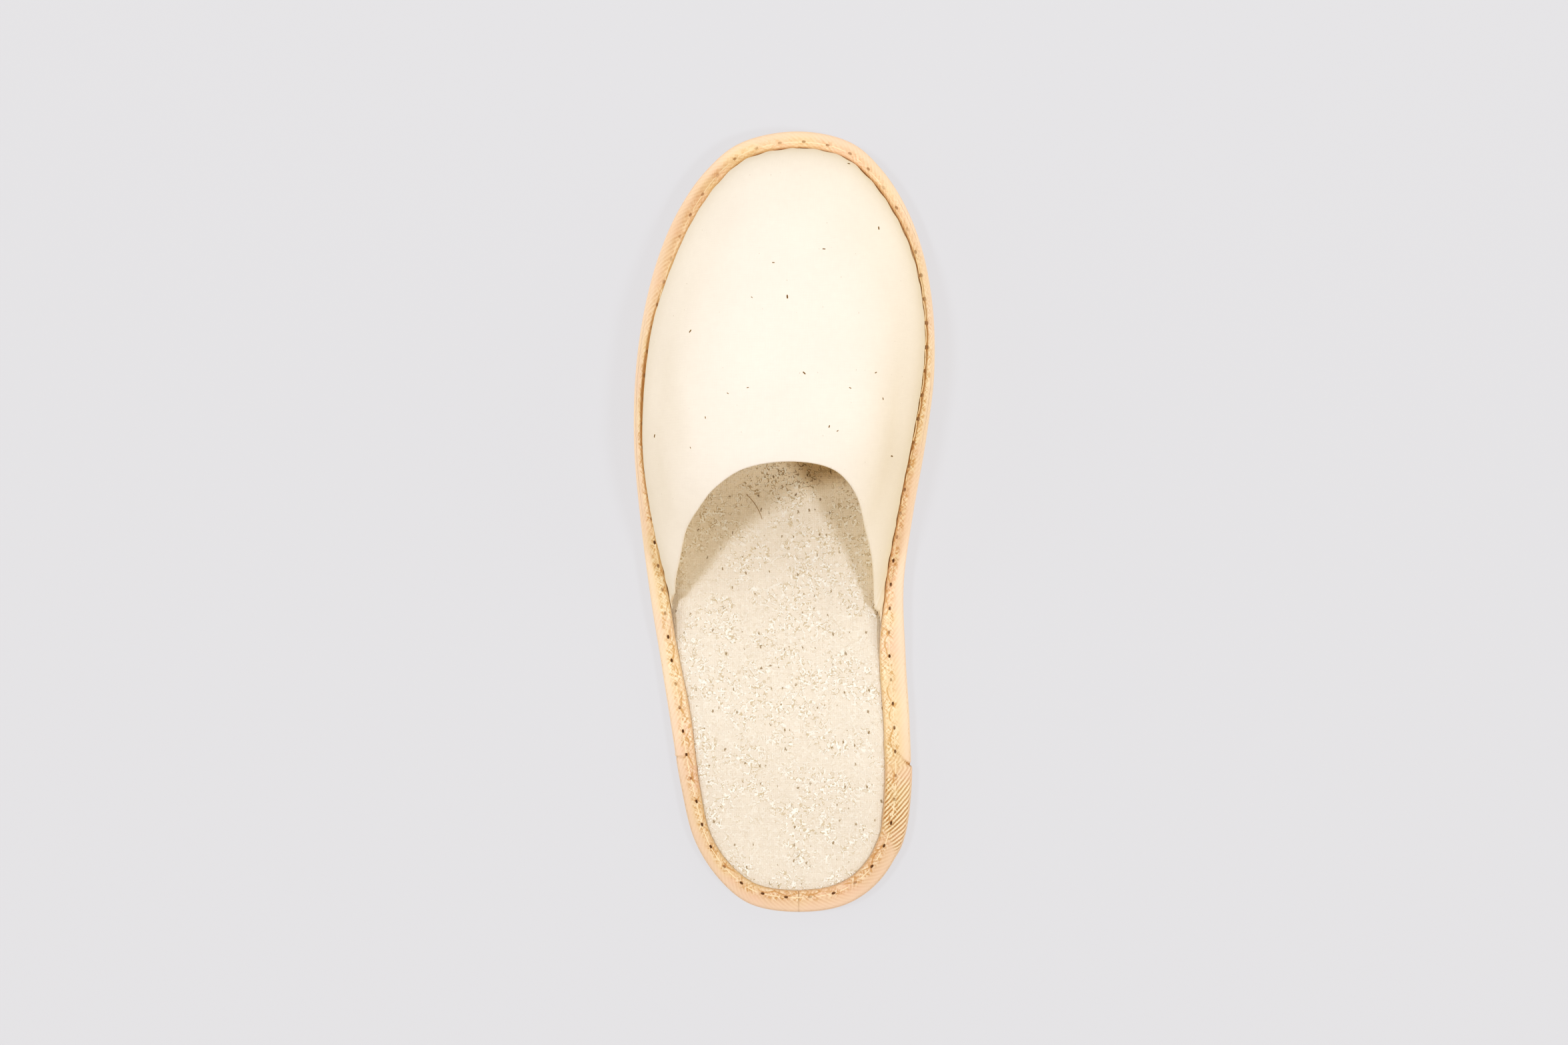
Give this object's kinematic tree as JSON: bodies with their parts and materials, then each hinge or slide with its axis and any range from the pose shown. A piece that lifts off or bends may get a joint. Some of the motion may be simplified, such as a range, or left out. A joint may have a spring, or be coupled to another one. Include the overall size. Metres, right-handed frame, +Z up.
{
  "type": "hotel slipper",
  "caption": "Closed-toe slip-on slipper for the left foot: canvas vamp on a thin foam sole with a linen insole, edged with folded twill tape.",
  "frame": {"origin": "on the floor, under the middle of the sole's bounding box", "axes": "+Y from heel to toe, +X to the inner side of the foot, +Z up"},
  "size_m": [0.1099, 0.285, 0.0532],
  "materials": {
    "outsole": "matte closed-cell foam with a fine tread",
    "insole": "matte plain-weave linen with slubs",
    "upper": "matte unbleached cotton canvas with seed flecks",
    "edge_tape": "matte cotton twill"
  },
  "bodies": {
    "root": {"outsole": "outsole", "insole": "insole", "upper": "upper", "edge_tape": "edge_tape"}
  },
  "joints": []
}
